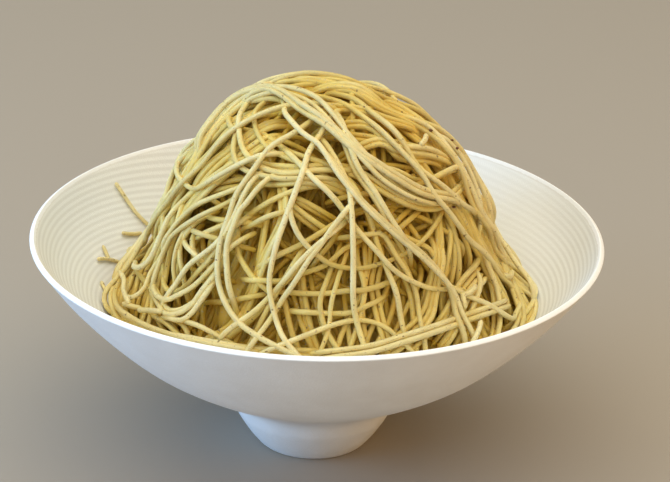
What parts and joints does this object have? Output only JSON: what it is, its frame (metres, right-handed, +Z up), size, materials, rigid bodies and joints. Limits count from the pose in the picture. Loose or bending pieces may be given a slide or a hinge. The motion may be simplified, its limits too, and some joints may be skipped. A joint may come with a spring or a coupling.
{
  "type": "mont blanc cake",
  "caption": "Tall nest of fine chestnut-paste strands, piled in a wide moulded pulp bowl on a small tapered foot.",
  "frame": {"origin": "centre of the foot's underside, on the surface that the bowl stands on", "axes": "+Z up along the bowl's axis; +X to the right in the picture's view and +Y away from the viewer"},
  "size_m": [0.16, 0.16, 0.1095],
  "materials": {
    "pulp": "moulded plant pulp, matte white with a fine grain",
    "chestnut_paste": "pale golden chestnut paste, satin, in fine round strands"
  },
  "bodies": {
    "root": {"pulp_bowl": "pulp", "strand_nest": "chestnut_paste"}
  },
  "joints": []
}
